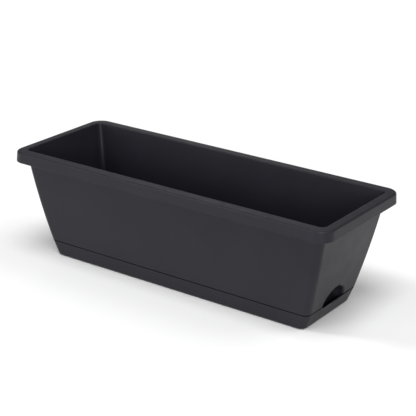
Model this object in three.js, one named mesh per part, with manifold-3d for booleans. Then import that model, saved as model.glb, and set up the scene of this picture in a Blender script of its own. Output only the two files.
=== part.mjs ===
// Self-watering flower trough.
// A tapered box with a turned-over rim holds the soil. It stands in a shallow reservoir tray, whose wall
// carries on the line of the box below a thin seam. Six slotted cups hang through the box's floor into the
// tray: they are filled with soil, which draws the water up. Water is poured in through an arched pocket in
// the right-hand end wall, over a dip in the tray's rim.
// Millimetres, +X along the trough towards the filling end, +Y to the back, +Z up, the floor at z = 0.

import * as THREE from "three";
import { mergeVertices } from "three/addons/utils/BufferGeometryUtils.js";
import Module from "manifold-3d";

const wasm = await Module();
wasm.setup();

// ---------------------------------------------------------------------------
// Driving dimensions
// ---------------------------------------------------------------------------

// The trough over all, measured over the lower edge of the rim's skirt.
const LENGTH = 500;
const WIDTH = 191;
const HEIGHT = 154;

// The box's wall. Its faces bow outwards a little between the seam and the rim.
const WALL = 2.2;
const WALL_CORNER = 9.5; // outer corner radius in plan
const END_LEAN = 28.2; // how far an end wall leans out from the seam up to the rim
const SIDE_LEAN = 19;
const END_BOW = 1.6;
const SIDE_BOW = 1.6;
const WALL_LEVELS = 6;

// The rim: a land that falls a little outwards and turns down into a skirt.
const END_OVERHANG = 10.6; // from an end wall's outer face out to the skirt's outer face
const SIDE_OVERHANG = 13.2;
const RIM_CORNER = 19; // the skirt's corner radius in plan
const RIM_FALL = 0.4; // how far the land falls from its crest to its outer edge
const RIM_CREST = 1; // width of the level crest along the inner edge
const RIM_SKIRT = 15; // height of the skirt, from the land down
const RIM_LAND = 2.2; // thickness of the land at its crest
const SKIRT_WALL = 2;
const SKIRT_FLARE = 0.8;
const RIM_OUTER_ROUND = 2.5;
const RIM_INNER_ROUND = 1.5;
const ROUND_STEPS = 3;

// The tray.
const TRAY_HEIGHT = 21.6;
const SEAM_GAP = 1.2; // open joint between the tray's rim and the box's lower edge
const TRAY_WALL = 2.2;
const TRAY_END_LEAN = 7.6;
const TRAY_SIDE_LEAN = 3.8;
const TRAY_FOOT_ROUND = 3;
const TRAY_FLOOR = 2.4;
const TRAY_RECESS = 1.4; // depth of the recess under the tray, which leaves a ring to stand on
const STANDING_RING = 14; // width of that ring

// The box's floor and the collar below it that locates the box in the tray.
const FLOOR = 2.2;
const FLOOR_CLEARANCE = 2; // from the box's lower edge up to the floor's underside
const COLLAR_DEPTH = 10.4; // from the floor's underside down
const COLLAR_WALL = 1.8;
const COLLAR_CLEARANCE = 0.5;

// The filling pocket in the right-hand end wall, and the dip in the tray's rim below it.
const POCKET_HALF_WIDTH = 25.5;
const POCKET_RISE = 19.5; // from the box's lower edge up
const POCKET_DEPTH = 11;
const POCKET_STEPS = 5;
const POCKET_BACK_ANGLE = 30; // degrees; where the pocket's rounded sides meet its flat back
const DIP_HALF_WIDTH = 26;
const DIP_DEPTH = 3;

// The wicking cups.
const CUP_COLUMNS = 3;
const CUP_TOP_RADIUS = 17;
const CUP_TAPER = 2.2; // how much smaller the radius is at the cup's foot
const CUP_WALL = 1.5;
const CUP_FLANGE = 3.6; // how far the flange stands out beyond the cup
const CUP_FLANGE_THICKNESS = 1.6;
const CUP_SEAT_GAP = 0.3; // flange to floor
const CUP_HOLE_CLEARANCE = 0.6; // radial, cup to the hole in the floor
const CUP_FOOT_GAP = 0.8; // cup to the tray's floor
const CUP_SLOTS = 8;
const CUP_SLOT_WIDTH = 2.4;
const CUP_SLOT_MARGIN = 4; // solid wall left above and below a slot
const CUP_FOOT_HOLE = 2.2; // radius
const CUP_FOOT_HOLES = 4;
const CUP_SEGMENTS = 24;
const FOOT_HOLE_SEGMENTS = 12;

// Drainage slots through the box's floor, in rows between the cups.
const DRAIN_WIDTH = 3;
const DRAIN_LENGTH = 24;
const DRAIN_PITCH = 9;
const DRAINS_PER_ROW = 3;

// Cross-shaped posts on the tray's floor that carry the box's floor.
const POST_ARM = 9; // from the post's centre
const POST_WALL = 2;
const POST_GAP = 0.3; // to the box's floor

const CORNER_SEGMENTS = 6;
const OVERCUT = 1; // how far a cutting solid runs past the face that it cuts
const WELD = 1e-3; // points closer than this are one point

// ---------------------------------------------------------------------------
// Heights and half sizes that follow from them
// ---------------------------------------------------------------------------

const boxFoot = TRAY_HEIGHT + SEAM_GAP;
const floorUnder = boxFoot + FLOOR_CLEARANCE;
const floorTop = floorUnder + FLOOR;
const collarFoot = floorUnder - COLLAR_DEPTH;
const trayFloorTop = TRAY_RECESS + TRAY_FLOOR;
const rimHalfLength = LENGTH / 2 - SKIRT_FLARE;
const rimHalfWidth = WIDTH / 2 - SKIRT_FLARE;
const seamHalfLength = rimHalfLength - END_OVERHANG - END_LEAN;
const seamHalfWidth = rimHalfWidth - SIDE_OVERHANG - SIDE_LEAN;

// The box's outer face at height z, moved in by an inset.
function wallAt(z, inset = 0) {
  const t = (z - TRAY_HEIGHT) / (HEIGHT - TRAY_HEIGHT);
  const bow = 4 * t * (1 - t);
  return {
    z,
    x: seamHalfLength + END_LEAN * t + END_BOW * bow - inset,
    y: seamHalfWidth + SIDE_LEAN * t + SIDE_BOW * bow - inset,
    r: WALL_CORNER - inset,
  };
}

// The tray's outer face at height z, moved in by an inset, before its lower edge is rounded.
function trayAt(z, inset = 0) {
  const t = 1 - z / TRAY_HEIGHT;
  return {
    z,
    x: seamHalfLength - TRAY_END_LEAN * t - inset,
    y: seamHalfWidth - TRAY_SIDE_LEAN * t - inset,
    r: WALL_CORNER - inset,
  };
}

// The rim's outer face at height z, moved in by an inset.
function rimAt(z, inset = 0) {
  const flare = (SKIRT_FLARE * (HEIGHT - z)) / RIM_SKIRT;
  return {
    z,
    x: rimHalfLength + flare - inset,
    y: rimHalfWidth + flare - inset,
    r: RIM_CORNER - inset,
  };
}

const floorHalfLength = wallAt(floorTop, WALL).x;
const floorHalfWidth = wallAt(floorTop, WALL).y;
const cupPitch = (2 * floorHalfLength) / CUP_COLUMNS;
const cupRow = floorHalfWidth / 2;
const cupColumns = Array.from({ length: CUP_COLUMNS }, (_, i) => (i - (CUP_COLUMNS - 1) / 2) * cupPitch);
const betweenColumns = cupColumns.slice(1).map((x) => x - cupPitch / 2);
// The outermost posts stand halfway between the last cup and the back of the filling pocket.
const lastCupEdge = cupColumns[CUP_COLUMNS - 1] + CUP_TOP_RADIUS;
const endPost = (lastCupEdge + seamHalfLength - POCKET_DEPTH - WALL) / 2;

// ---------------------------------------------------------------------------
// Solids from three.js geometries
// ---------------------------------------------------------------------------

// A closed three.js geometry as a solid that can be joined and cut.
function solid(geometry) {
  const bare = geometry.index ? geometry.toNonIndexed() : geometry.clone();
  bare.deleteAttribute("normal");
  bare.deleteAttribute("uv");
  const merged = mergeVertices(bare, WELD);
  return new wasm.Manifold(
    new wasm.Mesh({
      numProp: 3,
      vertProperties: merged.attributes.position.array,
      triVerts: new Uint32Array(merged.index.array),
    }),
  );
}

function geometryOf(made) {
  const mesh = made.getMesh();
  const geometry = new THREE.BufferGeometry();
  geometry.setAttribute("position", new THREE.BufferAttribute(mesh.vertProperties, 3));
  geometry.setIndex(new THREE.BufferAttribute(mesh.triVerts, 1));
  return geometry;
}

function box(width, depth, height, x, y, z) {
  return solid(new THREE.BoxGeometry(width, depth, height).translate(x, y, z));
}

// An upright cylinder standing at height z.
function cylinder(radius, height, x, y, z, segments = CUP_SEGMENTS) {
  const geometry = new THREE.CylinderGeometry(radius, radius, height, segments);
  return solid(geometry.rotateX(Math.PI / 2).translate(x, y, z + height / 2));
}

// A rounded square with corner centres one unit from its axes and a corner radius of one unit.
const unitOutline = new THREE.Shape();
unitOutline.absarc(1, 1, 1, 0, Math.PI / 2);
unitOutline.absarc(-1, 1, 1, Math.PI / 2, Math.PI);
unitOutline.absarc(-1, -1, 1, Math.PI, 1.5 * Math.PI);
unitOutline.absarc(1, -1, 1, 1.5 * Math.PI, 2 * Math.PI);

// A solid through rounded rectangles {z, x, y, r}: height, half length, half width and corner radius.
function loft(levels) {
  const steps = levels.length - 1;
  const geometry = new THREE.ExtrudeGeometry(unitOutline, {
    depth: steps,
    steps,
    bevelEnabled: false,
    curveSegments: CORNER_SEGMENTS / 2,
  });
  const point = geometry.attributes.position;
  for (let i = 0; i < point.count; i++) {
    const { z, x, y, r } = levels[Math.round(point.getZ(i))];
    const sideX = Math.sign(point.getX(i));
    const sideY = Math.sign(point.getY(i));
    point.setXYZ(
      i,
      sideX * (x - r) + (point.getX(i) - sideX) * r,
      sideY * (y - r) + (point.getY(i) - sideY) * r,
      z,
    );
  }
  return solid(geometry);
}

// Evenly spaced heights from low to high.
function heights(low, high, steps) {
  return Array.from({ length: steps + 1 }, (_, i) => low + ((high - low) * i) / steps);
}

// Heights and insets of a quarter round of radius r that turns in to a level face at height top.
function quarterRound(top, r) {
  return Array.from({ length: ROUND_STEPS + 1 }, (_, i) => {
    const angle = (Math.PI / 2) * (i / ROUND_STEPS);
    return { z: top - r + r * Math.sin(angle), inset: r * (1 - Math.cos(angle)) };
  });
}

// The filling pocket's space, grown by a margin: an arch that narrows to a flat back, open downwards.
function pocketSpace(margin, foot) {
  const arch = new THREE.Shape();
  arch.moveTo(1, -1);
  arch.lineTo(1, 0);
  arch.absarc(0, 0, 1, 0, Math.PI);
  arch.lineTo(-1, -1);
  const geometry = new THREE.ExtrudeGeometry(arch, {
    depth: POCKET_STEPS,
    steps: POCKET_STEPS,
    bevelEnabled: false,
    curveSegments: CORNER_SEGMENTS,
  });
  const mouth = trayAt(TRAY_HEIGHT).x;
  const depth = POCKET_DEPTH + margin;
  const outside = mouth + END_LEAN;
  const point = geometry.attributes.position;
  for (let i = 0; i < point.count; i++) {
    const step = Math.round(point.getZ(i));
    const back = THREE.MathUtils.degToRad(POCKET_BACK_ANGLE);
    const angle = back + ((Math.PI / 2 - back) * step) / (POCKET_STEPS - 1);
    const open = step === POCKET_STEPS;
    const grow = open ? 1 : Math.sqrt(Math.sin(angle));
    const across = point.getX(i);
    const up = point.getY(i);
    point.setXYZ(
      i,
      open ? outside : mouth - (depth * Math.cos(angle)) / Math.cos(back),
      across * (POCKET_HALF_WIDTH + margin) * grow,
      up > 0 ? boxFoot + up * (POCKET_RISE + margin) * grow : boxFoot + up * (boxFoot - foot),
    );
  }
  return solid(geometry);
}

// ---------------------------------------------------------------------------
// The box
// ---------------------------------------------------------------------------

function rim() {
  const skirtFoot = HEIGHT - RIM_SKIRT;
  const outer = loft([
    rimAt(skirtFoot),
    ...quarterRound(HEIGHT - RIM_FALL, RIM_OUTER_ROUND).map(({ z, inset }) => rimAt(z, inset)),
    wallAt(HEIGHT, WALL - RIM_INNER_ROUND - RIM_CREST),
  ]);
  const hollow = loft([
    rimAt(skirtFoot - OVERCUT, SKIRT_WALL),
    rimAt(HEIGHT - RIM_LAND, SKIRT_WALL),
  ]);
  return outer.subtract(hollow);
}

function cavity() {
  const edge = quarterRound(HEIGHT, RIM_INNER_ROUND);
  return loft([
    ...heights(floorTop, HEIGHT - RIM_INNER_ROUND, WALL_LEVELS).map((z) => wallAt(z, WALL)),
    ...edge.slice(1).map(({ z, inset }) => wallAt(z, WALL - inset)),
    { ...wallAt(HEIGHT, WALL - RIM_INNER_ROUND), z: HEIGHT + OVERCUT },
  ]);
}

// The collar fits inside the tray's wall and follows its lean.
function collarAt(z, inset = 0) {
  return trayAt(z, TRAY_WALL + COLLAR_CLEARANCE + inset);
}

function drainSlot(x, y) {
  const run = DRAIN_LENGTH / 2 - DRAIN_WIDTH / 2;
  const outline = new THREE.Shape();
  outline.absarc(0, run, DRAIN_WIDTH / 2, 0, Math.PI);
  outline.absarc(0, -run, DRAIN_WIDTH / 2, Math.PI, 2 * Math.PI);
  const geometry = new THREE.ExtrudeGeometry(outline, {
    depth: FLOOR + 2 * OVERCUT,
    bevelEnabled: false,
    curveSegments: 2,
  });
  return solid(geometry.translate(x, y, floorUnder - OVERCUT));
}

function trough() {
  const wall = loft(
    heights(boxFoot, HEIGHT - RIM_LAND / 2, WALL_LEVELS).map((z) => wallAt(z)),
  );
  const collar = loft([collarAt(collarFoot), collarAt(floorUnder + FLOOR / 2)]);
  const collarHollow = loft([
    collarAt(collarFoot - OVERCUT, COLLAR_WALL),
    collarAt(floorUnder, COLLAR_WALL),
  ]);
  // A slice above the box's foot closes the gap between the wall and the collar.
  const envelope = wall.add(collar);
  const underWall = loft([
    wallAt(boxFoot - OVERCUT, WALL),
    wallAt(floorUnder, WALL),
  ]).subtract(collar);
  let made = rim().add(envelope).subtract(cavity()).subtract(collarHollow).subtract(underWall);
  made = made.add(pocketSpace(WALL, collarFoot).intersect(envelope));
  made = made.subtract(pocketSpace(0, collarFoot - OVERCUT));
  for (const x of cupColumns) {
    for (const side of [-1, 1]) {
      const radius = CUP_TOP_RADIUS + CUP_HOLE_CLEARANCE;
      made = made.subtract(
        cylinder(radius, FLOOR + 2 * OVERCUT, x, side * cupRow, floorUnder - OVERCUT),
      );
    }
  }
  for (const x of betweenColumns) {
    for (const side of [-1, 1]) {
      for (let i = 0; i < DRAINS_PER_ROW; i++) {
        const shift = (i - (DRAINS_PER_ROW - 1) / 2) * DRAIN_PITCH;
        made = made.subtract(drainSlot(x + shift, side * cupRow));
      }
    }
  }
  return made;
}

// ---------------------------------------------------------------------------
// The tray
// ---------------------------------------------------------------------------

function tray() {
  const foot = quarterRound(0, TRAY_FOOT_ROUND).map(({ z, inset }) => trayAt(-z, inset));
  const outer = loft([...foot.reverse(), trayAt(TRAY_HEIGHT)]);
  const inside = loft([
    trayAt(trayFloorTop, TRAY_WALL),
    trayAt(TRAY_HEIGHT + OVERCUT, TRAY_WALL),
  ]);
  const recess = loft([
    { ...trayAt(0, STANDING_RING), z: -OVERCUT, r: WALL_CORNER },
    { ...trayAt(0, STANDING_RING), z: TRAY_RECESS, r: WALL_CORNER },
  ]);
  const dipSpace = new THREE.CylinderGeometry(1, 1, END_LEAN, CUP_SEGMENTS)
    .rotateZ(Math.PI / 2)
    .scale(1, DIP_HALF_WIDTH, DIP_DEPTH)
    .translate(seamHalfLength, 0, TRAY_HEIGHT);
  let made = outer.subtract(inside).subtract(recess).subtract(solid(dipSpace));
  // Each post is rooted in the thickness of the tray's floor.
  const postTop = floorUnder - POST_GAP;
  const postHeight = postTop - TRAY_RECESS;
  const z = postTop - postHeight / 2;
  for (const x of [-endPost, ...betweenColumns, endPost]) {
    made = made
      .add(box(2 * POST_ARM, POST_WALL, postHeight, x, 0, z))
      .add(box(POST_WALL, 2 * POST_ARM, postHeight, x, 0, z));
  }
  return made;
}

// ---------------------------------------------------------------------------
// A wicking cup, on its own axis, at its height in the box
// ---------------------------------------------------------------------------

function wickingCup() {
  const foot = trayFloorTop + CUP_FOOT_GAP;
  const seat = floorTop + CUP_SEAT_GAP;
  const lip = seat + CUP_FLANGE_THICKNESS;
  const footRadius = CUP_TOP_RADIUS - CUP_TAPER;
  const profile = [
    [0, foot],
    [footRadius, foot],
    [CUP_TOP_RADIUS, seat],
    [CUP_TOP_RADIUS + CUP_FLANGE, seat],
    [CUP_TOP_RADIUS + CUP_FLANGE, lip],
    [CUP_TOP_RADIUS - CUP_WALL, lip],
    [footRadius - CUP_WALL, foot + CUP_WALL],
    [0, foot + CUP_WALL],
  ].map(([r, z]) => new THREE.Vector2(r, z));
  // LatheGeometry turns about Y, so the cup is stood up on Z afterwards.
  const turned = new THREE.LatheGeometry(profile, CUP_SEGMENTS).rotateX(Math.PI / 2);
  let made = solid(turned);
  const slotFoot = foot + CUP_SLOT_MARGIN;
  const slotHeight = floorUnder - CUP_SLOT_MARGIN / 2 - slotFoot;
  const reach = CUP_TOP_RADIUS + OVERCUT;
  for (let i = 0; i < CUP_SLOTS; i++) {
    const slot = new THREE.BoxGeometry(reach, CUP_SLOT_WIDTH, slotHeight)
      .translate(reach / 2 + CUP_TOP_RADIUS / 2, 0, slotFoot + slotHeight / 2)
      .rotateZ((2 * Math.PI * (i + 0.5)) / CUP_SLOTS);
    made = made.subtract(solid(slot));
  }
  for (let i = 0; i < CUP_FOOT_HOLES; i++) {
    const angle = (2 * Math.PI * i) / CUP_FOOT_HOLES;
    const out = footRadius / 2;
    made = made.subtract(
      cylinder(
        CUP_FOOT_HOLE,
        CUP_WALL + 2 * OVERCUT,
        out * Math.cos(angle),
        out * Math.sin(angle),
        foot - OVERCUT,
        FOOT_HOLE_SEGMENTS,
      ),
    );
  }
  return made;
}

// ---------------------------------------------------------------------------
// Assembly
// ---------------------------------------------------------------------------

const anthracite = new THREE.MeshStandardMaterial({
  color: 0x38373c,
  roughness: 0.5,
  metalness: 0,
  flatShading: true,
});
const black = new THREE.MeshStandardMaterial({
  color: 0x1c1c1e,
  roughness: 0.6,
  metalness: 0,
  flatShading: true,
});

function named(name, made, material) {
  const mesh = new THREE.Mesh(geometryOf(made), material);
  mesh.name = name;
  return mesh;
}

const planter = new THREE.Group();
planter.add(named("reservoir_tray", tray(), anthracite));
planter.add(named("trough", trough(), anthracite));

const cup = wickingCup();
let cupNumber = 0;
for (const x of cupColumns) {
  for (const side of [-1, 1]) {
    cupNumber += 1;
    const mesh = named(`wicking_cup_${cupNumber}`, cup, black);
    mesh.position.set(x, side * cupRow, 0);
    planter.add(mesh);
  }
}

export default planter;
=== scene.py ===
import math

import bmesh
import bpy
from mathutils import Matrix, Vector


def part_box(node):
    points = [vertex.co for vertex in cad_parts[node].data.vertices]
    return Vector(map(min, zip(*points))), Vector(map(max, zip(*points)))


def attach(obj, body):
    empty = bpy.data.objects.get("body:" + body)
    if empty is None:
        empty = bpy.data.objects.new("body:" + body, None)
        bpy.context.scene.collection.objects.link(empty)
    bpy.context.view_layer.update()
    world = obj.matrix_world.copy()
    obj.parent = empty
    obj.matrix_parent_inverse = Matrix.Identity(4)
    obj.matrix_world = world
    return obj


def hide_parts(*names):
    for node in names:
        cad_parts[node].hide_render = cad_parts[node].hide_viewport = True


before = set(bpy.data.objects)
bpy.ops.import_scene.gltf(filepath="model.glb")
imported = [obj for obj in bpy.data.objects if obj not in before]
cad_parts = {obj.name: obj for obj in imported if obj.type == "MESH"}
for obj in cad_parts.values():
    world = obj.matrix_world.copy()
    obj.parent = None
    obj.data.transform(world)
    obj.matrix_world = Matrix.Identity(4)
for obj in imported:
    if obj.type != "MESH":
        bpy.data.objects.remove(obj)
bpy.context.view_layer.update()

# ---------------------------------------------------------------------------
# Camera
# A long lens a little above the rim, off the corner with the filling pocket, so that the front, the
# right-hand end and the inside are all in view. The camera leans by one degree.
# ---------------------------------------------------------------------------

mm = 0.001
CAMERA_AZIMUTH = math.radians(34.99)
CAMERA_ELEVATION = math.radians(21.65)
CAMERA_ROLL = math.radians(1.0)
CAMERA_DISTANCE = 1801 * mm
LENS = 115.9
SENSOR = 36
FRAME_SHIFT = (0.0217, 0.0375)

box_low, box_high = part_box("trough")
aim = Vector((0, 0, box_high[2] / 2))
towards_camera = Vector((
    math.sin(CAMERA_AZIMUTH) * math.cos(CAMERA_ELEVATION),
    -math.cos(CAMERA_AZIMUTH) * math.cos(CAMERA_ELEVATION),
    math.sin(CAMERA_ELEVATION),
))
bpy.ops.object.camera_add(location=aim + towards_camera * CAMERA_DISTANCE)
camera = bpy.context.object
camera.name = "camera"
level_view = (-towards_camera).to_track_quat("-Z", "Y").to_matrix()
camera.rotation_euler = (level_view @ Matrix.Rotation(CAMERA_ROLL, 3, "Z")).to_euler()
camera.data.lens = LENS
camera.data.sensor_width = SENSOR
camera.data.shift_x, camera.data.shift_y = FRAME_SHIFT
bpy.context.scene.camera = camera

# ---------------------------------------------------------------------------
# Water tray
# One shallow moulding in anthracite polypropylene. It stands on a ring round its underside, its wall
# carries on the line of the box, and its rim dips at the filling end. The box simply sits in it.
# ---------------------------------------------------------------------------

CORNER_STEPS = 8
WALL_CORNER = 9.5 * mm
TRAY_HEIGHT = 21.6 * mm
TRAY_WALL = 2.2 * mm
TRAY_END_LEAN = 7.6 * mm
TRAY_SIDE_LEAN = 3.8 * mm
TRAY_FOOT_ROUND = 3 * mm
TRAY_EDGE_ROUND = 0.5 * mm
TRAY_RECESS = 1.4 * mm
TRAY_FLOOR = 2.4 * mm
TRAY_FLOOR_FILLET = 3 * mm
STANDING_RING = 14 * mm
DIP_HALF_WIDTH = 26 * mm
DIP_DEPTH = 3 * mm
DIP_STEPS = 24
DIP_REACH = 12 * mm
CLOSE = 0.05 * mm
PLASTIC_IOR = 1.49
PLASTIC_SPECULAR = 0.2
NOISE_LOW = 0.3
NOISE_HIGH = 0.7
SHADE_SCALE = 14
SHEEN_SCALE = 45
SHEEN_SPREAD = 0.03
GRAIN_SCALE = 2200
GRAIN_STRENGTH = 0.35
WAVE_SCALE = 18
WAVE_STRENGTH = 0.12
WAVE_DEPTH = 0.3 * mm
ANTHRACITE_DARK = (0.0140, 0.0136, 0.0186)
ANTHRACITE_LIGHT = (0.0162, 0.0157, 0.0216)
ANTHRACITE_ROUGHNESS = 0.42
ANTHRACITE_GRAIN = 0.03 * mm
tray_floor_top = TRAY_RECESS + TRAY_FLOOR
tray_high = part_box("reservoir_tray")[1]
seam_x = tray_high[0]
seam_y = tray_high[1]


def outline(z, x, y, r):
    """A rounded rectangle at height z: half length x, half width y, corner radius r."""
    return {"z": z, "x": x, "y": y, "r": r}


def tray_at(z, inset=0.0):
    """The tray's outer face at height z, moved in by an inset."""
    t = 1 - z / TRAY_HEIGHT
    return outline(z, seam_x - TRAY_END_LEAN * t - inset, seam_y - TRAY_SIDE_LEAN * t - inset,
                   WALL_CORNER - inset)


def turn(radius, start, end, steps=4):
    """Points (out, up) of an arc about its centre, from one angle to another, in degrees."""
    angles = [math.radians(start + (end - start) * i / steps) for i in range(steps + 1)]
    return [(radius * math.cos(a), radius * math.sin(a)) for a in angles]


def choose(piece, test):
    """In edit mode, selects the vertices that pass a test."""
    shape = bmesh.from_edit_mesh(piece.data)
    for vertex in shape.verts:
        vertex.select = test(vertex)
    shape.select_flush_mode()
    bmesh.update_edit_mesh(piece.data)


def carry(piece, was, now):
    """Extrudes the selected ring and moves it from one rounded outline to the next."""
    bpy.ops.mesh.extrude_edges_move(TRANSFORM_OT_translate={"value": (0, 0, now["z"] - was["z"])})
    shape = bmesh.from_edit_mesh(piece.data)
    ring = {v.index for v in shape.verts if v.select}
    centre_x = was["x"] - was["r"]
    centre_y = was["y"] - was["r"]
    move_x = now["x"] - now["r"] - centre_x
    move_y = now["y"] - now["r"] - centre_y
    grow = now["r"] / was["r"]
    for side_x in (-1, 1):
        for side_y in (-1, 1):
            choose(piece, lambda v: v.index in ring and v.co.x * side_x > 0 and v.co.y * side_y > 0)
            centre = (side_x * centre_x, side_y * centre_y, now["z"])
            bpy.ops.transform.resize(value=(grow, grow, 1), center_override=centre)
            bpy.ops.transform.translate(value=(side_x * move_x, side_y * move_y, 0))
    choose(piece, lambda v: v.index in ring)


def finish_edit(inside=False):
    """Leaves edit mode with every face pointing out, or in."""
    bpy.ops.mesh.select_all(action="SELECT")
    bpy.ops.mesh.normals_make_consistent(inside=inside)
    bpy.ops.object.mode_set(mode="OBJECT")


def loft(name, outlines):
    """A closed solid through rounded outlines, with its first and last outline filled."""
    first = outlines[0]
    bpy.ops.object.select_all(action="DESELECT")
    bpy.ops.mesh.primitive_plane_add(size=1, location=(0, 0, first["z"]))
    piece = bpy.context.object
    piece.name = piece.data.name = name
    piece.scale = (2 * first["x"], 2 * first["y"], 1)
    bpy.ops.object.transform_apply(location=True, rotation=True, scale=True)
    bpy.ops.object.mode_set(mode="EDIT")
    bpy.ops.mesh.select_mode(type="VERT")
    bpy.ops.mesh.select_all(action="SELECT")
    bpy.ops.mesh.bevel(offset=first["r"], segments=CORNER_STEPS, affect="VERTICES")
    for was, now in zip(outlines, outlines[1:]):
        carry(piece, was, now)
    bpy.ops.mesh.edge_face_add()
    finish_edit()
    return piece


def lower_rim(piece, y, depth):
    """Lowers the right-hand end's rim at one place across the tray."""
    bpy.ops.mesh.select_all(action="DESELECT")
    shape = bmesh.from_edit_mesh(piece.data)
    for face in shape.faces:
        centre = face.calc_center_median()
        face.select = centre.x > seam_x - DIP_REACH and abs(centre.y) < seam_y / 2
    bmesh.update_edit_mesh(piece.data)
    bpy.ops.mesh.bisect(plane_co=(0, y, 0), plane_no=(0, 1, 0))
    choose(piece, lambda v: v.co.x > seam_x - DIP_REACH and abs(v.co.y - y) < CLOSE
           and v.co.z > TRAY_HEIGHT - 2 * TRAY_EDGE_ROUND)
    bpy.ops.transform.translate(value=(0, 0, -depth))


def moulded_plastic(name, dark, light, roughness, grain_depth):
    """Moulded polypropylene: a fine spark-eroded grain, a slow waviness and slightly uneven sheen."""
    material = bpy.data.materials.new(name)
    material.use_nodes = True
    nodes = material.node_tree.nodes
    links = material.node_tree.links
    shader = nodes["Principled BSDF"]
    shader.inputs["IOR"].default_value = PLASTIC_IOR
    shader.inputs["Specular IOR Level"].default_value = PLASTIC_SPECULAR
    place = nodes.new("ShaderNodeTexCoord")

    def noise(scale, detail):
        pattern = nodes.new("ShaderNodeTexNoise")
        pattern.inputs["Scale"].default_value = scale
        pattern.inputs["Detail"].default_value = detail
        links.new(place.outputs["Object"], pattern.inputs["Vector"])
        return pattern.outputs["Fac"]

    def spread(value, low, high):
        ranged = nodes.new("ShaderNodeMapRange")
        ranged.inputs["From Min"].default_value = NOISE_LOW
        ranged.inputs["From Max"].default_value = NOISE_HIGH
        ranged.inputs["To Min"].default_value = low
        ranged.inputs["To Max"].default_value = high
        links.new(value, ranged.inputs["Value"])
        return ranged.outputs["Result"]

    shade = nodes.new("ShaderNodeMix")
    shade.data_type = "RGBA"
    shade.inputs["A"].default_value = (*dark, 1)
    shade.inputs["B"].default_value = (*light, 1)
    links.new(spread(noise(SHADE_SCALE, detail=3), 0, 1), shade.inputs["Factor"])
    links.new(shade.outputs["Result"], shader.inputs["Base Color"])
    sheen = spread(noise(SHEEN_SCALE, detail=4), roughness - SHEEN_SPREAD, roughness + SHEEN_SPREAD)
    links.new(sheen, shader.inputs["Roughness"])

    grain = nodes.new("ShaderNodeBump")
    grain.inputs["Strength"].default_value = GRAIN_STRENGTH
    grain.inputs["Distance"].default_value = grain_depth
    links.new(noise(GRAIN_SCALE, detail=2), grain.inputs["Height"])
    waves = nodes.new("ShaderNodeBump")
    waves.inputs["Strength"].default_value = WAVE_STRENGTH
    waves.inputs["Distance"].default_value = WAVE_DEPTH
    links.new(noise(WAVE_SCALE, detail=1), waves.inputs["Height"])
    links.new(grain.outputs["Normal"], waves.inputs["Normal"])
    links.new(waves.outputs["Normal"], shader.inputs["Normal"])
    return material


def pick(piece):
    """Selects one piece alone and makes it the active one."""
    bpy.ops.object.select_all(action="DESELECT")
    piece.select_set(True)
    bpy.context.view_layer.objects.active = piece


def dress(piece, material, crisp=math.radians(35)):
    """Gives a piece its material, and smooth faces that stay crisp at edges above an angle."""
    piece.data.materials.clear()
    piece.data.materials.append(material)
    pick(piece)
    bpy.ops.object.shade_smooth_by_angle(angle=crisp)
    even = piece.modifiers.new("even_shading", "WEIGHTED_NORMAL")
    even.keep_sharp = True
    even.weight = 100
    bpy.ops.object.modifier_apply(modifier=even.name)


anthracite = moulded_plastic("anthracite_plastic", ANTHRACITE_DARK, ANTHRACITE_LIGHT,
                             ANTHRACITE_ROUGHNESS, ANTHRACITE_GRAIN)

foot_round = [
    tray_at(TRAY_FOOT_ROUND + up, TRAY_FOOT_ROUND - out)
    for out, up in turn(TRAY_FOOT_ROUND, -90, 0, 6)
]
outer_edge = [
    tray_at(TRAY_HEIGHT - TRAY_EDGE_ROUND + up, TRAY_EDGE_ROUND - out)
    for out, up in turn(TRAY_EDGE_ROUND, 0, 90)
]
inner_edge = [
    tray_at(TRAY_HEIGHT - TRAY_EDGE_ROUND + up, TRAY_WALL - TRAY_EDGE_ROUND - out)
    for out, up in turn(TRAY_EDGE_ROUND, 90, 180)
]
floor_fillet = [
    tray_at(tray_floor_top + TRAY_FLOOR_FILLET + up, TRAY_WALL + TRAY_FLOOR_FILLET - out)
    for out, up in turn(TRAY_FLOOR_FILLET, 0, -90, 5)
]
recess_corner = dict(tray_at(0, STANDING_RING), r=WALL_CORNER)
tray = loft("tray", [
    dict(recess_corner, z=TRAY_RECESS),
    recess_corner,
    *foot_round,
    *outer_edge,
    *inner_edge,
    *floor_fillet,
])
bpy.ops.object.mode_set(mode="EDIT")
for i in range(DIP_STEPS + 1):
    across = 2 * i / DIP_STEPS - 1
    lower_rim(tray, across * DIP_HALF_WIDTH, DIP_DEPTH * (1 - across * across))
bpy.ops.object.mode_set(mode="OBJECT")
dress(tray, anthracite)
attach(tray, "tray")
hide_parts("reservoir_tray")

# ---------------------------------------------------------------------------
# Planting box
# One moulding in the same anthracite polypropylene. Its rim is turned over into a skirt, its floor is
# slotted and holed for the cups, and a collar under the floor locates it in the tray.
# ---------------------------------------------------------------------------

HEIGHT = box_high[2]
RIM_X = box_high[0]
RIM_Y = box_high[1]
WALL = 2.2 * mm
END_LEAN = 28.2 * mm
SIDE_LEAN = 19 * mm
END_BOW = 1.6 * mm
SIDE_BOW = 1.6 * mm
WALL_STEPS = 12
RIM_CORNER = 19 * mm
RIM_FALL = 0.4 * mm
RIM_CREST = 1 * mm
RIM_SKIRT = 15 * mm
RIM_LAND = 2.2 * mm
SKIRT_WALL = 2 * mm
SKIRT_FLARE = 0.8 * mm
RIM_OUTER_ROUND = 2.5 * mm
RIM_INNER_ROUND = 1.5 * mm
SKIRT_EDGE_ROUND = 0.6 * mm
LAND_FILLET = 1.2 * mm
SEAM_GAP = 1.2 * mm
BOX_FOOT_ROUND = 0.5 * mm
FLOOR = 2.2 * mm
FLOOR_CLEARANCE = 2 * mm
FLOOR_FILLET = 4 * mm
COLLAR_FOOT = box_low[2]
COLLAR_CLEARANCE = 0.5 * mm
COLLAR_WALL = 1.8 * mm
box_foot = TRAY_HEIGHT + SEAM_GAP
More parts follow.
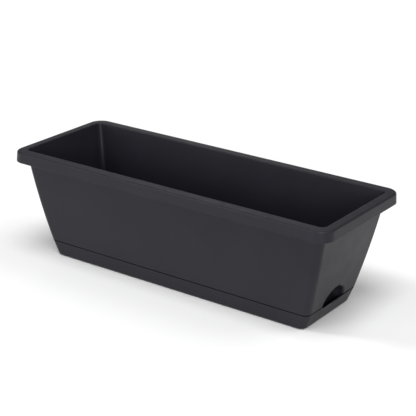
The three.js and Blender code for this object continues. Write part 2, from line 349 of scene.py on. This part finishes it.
floor_under = box_foot + FLOOR_CLEARANCE
floor_top = floor_under + FLOOR


def wall_at(z, inset=0.0):
    """The box's outer face at height z, moved in by an inset. The wall bows out between seam and rim."""
    t = (z - TRAY_HEIGHT) / (HEIGHT - TRAY_HEIGHT)
    bow = 4 * t * (1 - t)
    return outline(z, seam_x + END_LEAN * t + END_BOW * bow - inset,
                   seam_y + SIDE_LEAN * t + SIDE_BOW * bow - inset, WALL_CORNER - inset)


def rim_at(z, inset=0.0):
    """The rim's outer face at height z, moved in by an inset. The skirt flares out downwards."""
    flare = SKIRT_FLARE * ((HEIGHT - z) / RIM_SKIRT - 1)
    return outline(z, RIM_X + flare - inset, RIM_Y + flare - inset, RIM_CORNER - inset)


def collar_at(z, inset=0.0):
    """The collar's outer face, which follows the inside of the tray's wall."""
    return tray_at(z, TRAY_WALL + COLLAR_CLEARANCE + inset)


def levels(low, high, steps):
    """Evenly spaced heights from one to another."""
    return [low + (high - low) * i / steps for i in range(steps + 1)]


skirt_foot = HEIGHT - RIM_SKIRT
land_under = HEIGHT - RIM_LAND
inner_floor_fillet = [
    wall_at(floor_top + FLOOR_FILLET + up, WALL + FLOOR_FILLET - out)
    for out, up in turn(FLOOR_FILLET, -90, 0, 6)
]
inner_wall = [
    wall_at(z, WALL)
    for z in levels(floor_top + FLOOR_FILLET, HEIGHT - RIM_INNER_ROUND, WALL_STEPS)[1:]
]
inner_round = [
    wall_at(HEIGHT - RIM_INNER_ROUND + up, WALL - RIM_INNER_ROUND - out)
    for out, up in turn(RIM_INNER_ROUND, 180, 90, 5)
][1:]
crest = wall_at(HEIGHT, WALL - RIM_INNER_ROUND - RIM_CREST)
outer_round = [
    rim_at(HEIGHT - RIM_FALL - RIM_OUTER_ROUND + up, RIM_OUTER_ROUND - out)
    for out, up in turn(RIM_OUTER_ROUND, 90, 0, 7)
]
skirt_outer_edge = [
    rim_at(skirt_foot + SKIRT_EDGE_ROUND + up, SKIRT_EDGE_ROUND - out)
    for out, up in turn(SKIRT_EDGE_ROUND, 0, -90)
]
skirt_inner_edge = [
    rim_at(skirt_foot + SKIRT_EDGE_ROUND + up, SKIRT_WALL - SKIRT_EDGE_ROUND - out)
    for out, up in turn(SKIRT_EDGE_ROUND, -90, -180)
]
skirt_fillet = [
    rim_at(land_under - LAND_FILLET + up, SKIRT_WALL + LAND_FILLET - out)
    for out, up in turn(LAND_FILLET, 0, 90)
]
wall_fillet = [
    wall_at(land_under - LAND_FILLET + up, -LAND_FILLET - out)
    for out, up in turn(LAND_FILLET, 90, 180)
]
outer_wall = [
    wall_at(z)
    for z in levels(land_under - LAND_FILLET, box_foot + BOX_FOOT_ROUND, WALL_STEPS)[1:]
]
box_foot_outer = [
    wall_at(box_foot + BOX_FOOT_ROUND + up, BOX_FOOT_ROUND - out)
    for out, up in turn(BOX_FOOT_ROUND, 0, -90)
][1:]
box = loft("box", [
    *inner_floor_fillet,
    *inner_wall,
    *inner_round,
    crest,
    *outer_round,
    *skirt_outer_edge,
    *skirt_inner_edge,
    *skirt_fillet,
    *wall_fillet,
    *outer_wall,
    *box_foot_outer,
    wall_at(box_foot, WALL),
    wall_at(floor_under, WALL),
    collar_at(floor_under),
    collar_at(COLLAR_FOOT),
    collar_at(COLLAR_FOOT, COLLAR_WALL),
    collar_at(floor_under, COLLAR_WALL),
])

# The filling pocket is a niche with rounded back corners, whose wall runs down behind the tray's rim.
POCKET_HALF_WIDTH = 25.5 * mm
POCKET_RISE = 19.5 * mm
POCKET_DEPTH = 11 * mm
POCKET_BACK_ROUND = 7.5 * mm
POCKET_MOUTH_ROUND = 3.2 * mm
POCKET_SIDES = 96
POCKET_BACK_STEPS = 8
POCKET_MOUTH_STEPS = 6
POCKET_CORNER = math.radians(60)
FACING_OUT = 0.9
LINER_TOP = 60 * mm
OVERCUT = 1 * mm
TINY = 0.01 * mm


def pocket_space(name):
    """The arched space of the niche, from its back out past the end wall and down past the collar."""
    back = seam_x - POCKET_DEPTH
    reach = POCKET_DEPTH + END_LEAN
    bpy.ops.object.select_all(action="DESELECT")
    bpy.ops.mesh.primitive_cylinder_add(vertices=POCKET_SIDES, radius=1, depth=1,
                                        rotation=(0, math.pi / 2, 0),
                                        location=(back + reach / 2, 0, box_foot))
    piece = bpy.context.object
    piece.name = piece.data.name = name
    bpy.ops.object.transform_apply(location=True, rotation=True, scale=True)
    bpy.ops.object.mode_set(mode="EDIT")
    bpy.ops.mesh.select_mode(type="VERT")
    bpy.ops.mesh.select_all(action="SELECT")
    bpy.ops.transform.resize(value=(reach, POCKET_HALF_WIDTH, POCKET_RISE),
                             center_override=(back + reach / 2, 0, box_foot))
    bpy.ops.mesh.bisect(plane_co=(0, 0, box_foot), plane_no=(0, 0, 1), clear_inner=True, use_fill=True)
    choose(piece, lambda v: v.co.z < box_foot + TINY)
    bpy.ops.mesh.extrude_region_move(TRANSFORM_OT_translate={"value": (0, 0, COLLAR_FOOT - box_foot)})
    shape = bmesh.from_edit_mesh(piece.data)
    for edge in shape.edges:
        ends = [v.co for v in edge.verts]
        at_back = all(p.x < back + TINY for p in ends)
        corner = edge.calc_face_angle(0) > POCKET_CORNER
        edge.select = at_back and corner and max(p.z for p in ends) > COLLAR_FOOT + TINY
    bmesh.update_edit_mesh(piece.data)
    bpy.ops.mesh.bevel(offset=POCKET_BACK_ROUND, segments=POCKET_BACK_STEPS)
    return piece


def combine(piece, tool, operation):
    """Joins, cuts or crops a piece with a tool, and takes the tool away."""
    pick(piece)
    change = piece.modifiers.new(operation.lower(), "BOOLEAN")
    change.object = tool
    change.operation = operation
    change.solver = "EXACT"
    bpy.ops.object.modifier_apply(modifier=change.name)
    bpy.data.objects.remove(tool)


liner = pocket_space("pocket_liner")
bpy.ops.mesh.select_all(action="SELECT")
bpy.ops.mesh.normals_make_consistent(inside=False)
bpy.ops.transform.shrink_fatten(value=WALL, use_even_offset=True)
finish_edit()
inside_wall = loft("inside_wall", [
    collar_at(COLLAR_FOOT, COLLAR_WALL / 2),
    collar_at(box_foot, COLLAR_WALL / 2),
    *[wall_at(z, WALL / 2) for z in levels(floor_under, LINER_TOP, 4)],
])
combine(liner, inside_wall, "INTERSECT")
combine(box, liner, "UNION")
niche = pocket_space("niche")
choose(niche, lambda v: v.co.z < COLLAR_FOOT + TINY)
bpy.ops.transform.translate(value=(0, 0, -OVERCUT))
finish_edit()
combine(box, niche, "DIFFERENCE")

# The edge of the arch is rounded where the niche runs out into the end wall.
bpy.ops.object.mode_set(mode="EDIT")
bpy.ops.mesh.select_mode(type="EDGE")
bpy.ops.mesh.select_all(action="DESELECT")
shape = bmesh.from_edit_mesh(box.data)
for edge in shape.edges:
    on_wall = all(abs(v.co.x - wall_at(v.co.z)["x"]) < CLOSE for v in edge.verts)
    near_arch = all(abs(v.co.y) < POCKET_HALF_WIDTH + OVERCUT for v in edge.verts)
    above_foot = all(v.co.z > box_foot + BOX_FOOT_ROUND / 2 for v in edge.verts)
    if on_wall and near_arch and above_foot and len(edge.link_faces) == 2:
        facing_out = [face.normal.x > FACING_OUT for face in edge.link_faces]
        edge.select = facing_out[0] != facing_out[1]
bmesh.update_edit_mesh(box.data)
bpy.ops.mesh.bevel(offset=POCKET_MOUTH_ROUND, segments=POCKET_MOUTH_STEPS)
bpy.ops.object.mode_set(mode="OBJECT")

# The floor is holed for six cups, with three drainage slots between neighbouring cups.
CUP_COLUMNS = 3
CUP_RADIUS = 17 * mm
CUP_CLEARANCE = 0.6 * mm
HOLE_SIDES = 64
DRAIN_WIDTH = 3 * mm
DRAIN_LENGTH = 24 * mm
DRAIN_PITCH = 9 * mm
floor_x = wall_at(floor_top, WALL)["x"]
floor_y = wall_at(floor_top, WALL)["y"]
cup_pitch = 2 * floor_x / CUP_COLUMNS
cup_row = floor_y / 2
columns = [(i - (CUP_COLUMNS - 1) / 2) * cup_pitch for i in range(CUP_COLUMNS)]
cup_places = [(x, side * cup_row) for x in columns for side in (-1, 1)]
drain_places = [
    (x + cup_pitch / 2 + shift * DRAIN_PITCH, side * cup_row)
    for x in columns[:-1] for side in (-1, 1) for shift in (-1, 0, 1)
]


def floor_hole(x, y, radius, length=0.0):
    """A punch through the floor: round, or a slot with round ends."""
    bpy.ops.mesh.primitive_cylinder_add(vertices=HOLE_SIDES, radius=radius, depth=FLOOR + 2 * OVERCUT,
                                        location=(x, y, (floor_top + floor_under) / 2))
    punch = bpy.context.object
    bpy.ops.object.transform_apply(location=True, rotation=True, scale=True)
    if length:
        bpy.ops.object.mode_set(mode="EDIT")
        for side in (-1, 1):
            choose(punch, lambda v: (v.co.y - y) * side > TINY)
            bpy.ops.transform.translate(value=(0, side * (length / 2 - radius), 0))
        bpy.ops.object.mode_set(mode="OBJECT")
    return punch


punches = [floor_hole(x, y, CUP_RADIUS + CUP_CLEARANCE) for x, y in cup_places]
punches += [floor_hole(x, y, DRAIN_WIDTH / 2, DRAIN_LENGTH) for x, y in drain_places]
bpy.ops.object.select_all(action="DESELECT")
for punch in punches:
    punch.select_set(True)
bpy.context.view_layer.objects.active = punches[0]
bpy.ops.object.join()
combine(box, punches[0], "DIFFERENCE")
dress(box, anthracite)
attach(box, "box")
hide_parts("trough")

# ---------------------------------------------------------------------------
# Wicking cups
# Six slotted cups in black polypropylene. Each hangs by its flange in a hole in the box's floor, with its
# foot in the water. It is filled with soil, which draws the water up, and lifts straight out.
# ---------------------------------------------------------------------------

CUP_SIDES = 48
CUP_TAPER = 2.2 * mm
CUP_WALL = 1.5 * mm
CUP_FLANGE = 3.6 * mm
CUP_FOOT_ROUND = 1.5 * mm
CUP_SLOTS = 8
CUP_EDGE_ROUND = 0.25 * mm
CUP_EDGE_ANGLE = math.radians(50)
CUP_DARK = (0.0085, 0.0085, 0.0090)
CUP_LIGHT = (0.0115, 0.0115, 0.0120)
CUP_ROUGHNESS = 0.52
CUP_GRAIN = 0.02 * mm
FOOT_HOLE_IN = 5.2 * mm
FOOT_HOLE_OUT = 9.6 * mm
FOOT_HOLES = 4
FOOT_HOLE_STEPS = 4
FOOT_CLEARANCE = 0.8 * mm
SEAT_GAP = 0.3 * mm
SLOT_ABOVE_FOOT = 4 * mm
SLOT_BELOW_FLOOR = 2 * mm
cup_foot = tray_floor_top + FOOT_CLEARANCE
cup_seat = floor_top + SEAT_GAP
cup_foot_radius = CUP_RADIUS - CUP_TAPER
slot_foot = cup_foot + SLOT_ABOVE_FOOT
slot_top = floor_under - SLOT_BELOW_FLOOR


def cup_radius(z):
    """The cup's outer radius at height z."""
    return cup_foot_radius + CUP_TAPER * (z - cup_foot) / (cup_seat - cup_foot)


cup_rings = [(FOOT_HOLE_IN, cup_foot), (FOOT_HOLE_OUT, cup_foot)]
cup_rings += [
    (cup_foot_radius - CUP_FOOT_ROUND + out, cup_foot + CUP_FOOT_ROUND + up)
    for out, up in turn(CUP_FOOT_ROUND, -90, 0, 5)
]
cup_rings += [(cup_radius(z), z) for z in (slot_foot, slot_top)]
cup_rings += [(CUP_RADIUS, cup_seat), (CUP_RADIUS + CUP_FLANGE, cup_seat)]

bpy.ops.object.select_all(action="DESELECT")
bpy.ops.mesh.primitive_circle_add(vertices=CUP_SIDES, radius=FOOT_HOLE_IN, fill_type="NGON",
                                  location=(0, 0, cup_foot))
cup = bpy.context.object
cup.name = cup.data.name = "cup"
bpy.ops.object.transform_apply(location=True, rotation=True, scale=True)
bpy.ops.object.mode_set(mode="EDIT")
bpy.ops.mesh.select_mode(type="VERT")
bpy.ops.mesh.select_all(action="SELECT")
for (was_r, was_z), (r, z) in zip(cup_rings, cup_rings[1:]):
    bpy.ops.mesh.extrude_edges_move(TRANSFORM_OT_translate={"value": (0, 0, z - was_z)})
    bpy.ops.transform.resize(value=(r / was_r, r / was_r, 1), center_override=(0, 0, z))
# An open bowl's faces count as outward when they face up into it, so they are turned to face down.
finish_edit(inside=True)


def open_faces(piece, low, high, inner, outer, count, steps):
    """Takes out the faces of evenly spaced openings between two heights and two radii."""
    bpy.ops.object.mode_set(mode="EDIT")
    bpy.ops.mesh.select_mode(type="FACE")
    bpy.ops.mesh.select_all(action="DESELECT")
    shape = bmesh.from_edit_mesh(piece.data)
    every = CUP_SIDES // count
    for face in shape.faces:
        middle = face.calc_center_median()
        radius = math.hypot(middle.x, middle.y)
        step = round(math.atan2(middle.y, middle.x) / math.tau * CUP_SIDES - 0.5) % every
        face.select = low < middle.z < high and inner < radius < outer and step < steps
    bmesh.update_edit_mesh(piece.data)
    bpy.ops.mesh.delete(type="FACE")
    bpy.ops.object.mode_set(mode="OBJECT")


open_faces(cup, slot_foot, slot_top, 0, 2 * CUP_RADIUS, CUP_SLOTS, 1)
open_faces(cup, cup_foot - OVERCUT, cup_foot + CLOSE, FOOT_HOLE_IN, FOOT_HOLE_OUT, FOOT_HOLES,
           FOOT_HOLE_STEPS)
thicken = cup.modifiers.new("wall", "SOLIDIFY")
thicken.thickness = CUP_WALL
thicken.offset = -1
thicken.use_even_offset = True
soften = cup.modifiers.new("edges", "BEVEL")
soften.width = CUP_EDGE_ROUND
soften.segments = 2
soften.limit_method = "ANGLE"
soften.angle_limit = CUP_EDGE_ANGLE
for modifier in ("wall", "edges"):
    bpy.ops.object.modifier_apply(modifier=modifier)

cup_black = moulded_plastic("black_plastic", CUP_DARK, CUP_LIGHT, CUP_ROUGHNESS, CUP_GRAIN)
dress(cup, cup_black)
cups = [cup]
for _ in cup_places[1:]:
    bpy.ops.object.duplicate(linked=False)
    cups.append(bpy.context.object)
for number, (piece, (x, y)) in enumerate(zip(cups, cup_places), start=1):
    piece.name = piece.data.name = f"cup_{number}"
    pick(piece)
    piece.location = (x, y, 0)
    bpy.ops.object.transform_apply(location=True, rotation=True, scale=True)
    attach(piece, f"cup_{number}")
    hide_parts(f"wicking_cup_{number}")

# ---------------------------------------------------------------------------
# Floor and light
# A plain white floor that runs out of view, under a weak white sky. Soft lights stand round it: a strong
# one overhead, one high at the filling end, low ones at the corner and front, and two that catch the rim.
# ---------------------------------------------------------------------------

SKY_STRENGTH = 0.2
PAPER_SIZE = 60
PAPER_WHITE = (0.92, 0.92, 0.92, 1)
PAPER_ROUGHNESS = 0.9

bpy.ops.object.select_all(action="DESELECT")
bpy.ops.mesh.primitive_plane_add(size=PAPER_SIZE)
floor = bpy.context.object
floor.name = "floor"
paper = bpy.data.materials.new("white_paper")
paper.use_nodes = True
paper_shader = paper.node_tree.nodes["Principled BSDF"]
paper_shader.inputs["Base Color"].default_value = PAPER_WHITE
paper_shader.inputs["Roughness"].default_value = PAPER_ROUGHNESS
floor.data.materials.append(paper)

sky = bpy.data.worlds.new("sky")
sky.use_nodes = True
sky.node_tree.nodes["Background"].inputs["Color"].default_value = (1, 1, 1, 1)
sky.node_tree.nodes["Background"].inputs["Strength"].default_value = SKY_STRENGTH
bpy.context.scene.world = sky


def soft_light(name, azimuth, elevation, breadth, strength):
    """A far-off light, angles in degrees. Its azimuth runs from the front towards the filling end."""
    across = math.radians(azimuth)
    up = math.radians(elevation)
    level = math.cos(up)
    towards_light = Vector((math.sin(across) * level, -math.cos(across) * level, math.sin(up)))
    bpy.ops.object.light_add(type="SUN")
    light = bpy.context.object
    light.name = name
    light.data.angle = math.radians(breadth)
    light.data.energy = strength
    light.rotation_euler = towards_light.to_track_quat("Z", "Y").to_euler()


soft_light("overhead_light", 30, 72, 30, 1.75)
soft_light("end_light", 120, 52, 30, 0.60)
soft_light("rim_light", 305, 50, 12, 0.65)
soft_light("back_light", 215, 25, 14, 0.06)
soft_light("corner_light", 35, 14, 14, 1.20)
soft_light("front_light", 330, 8, 30, 0.85)
bpy.context.scene.view_settings.view_transform = "Standard"
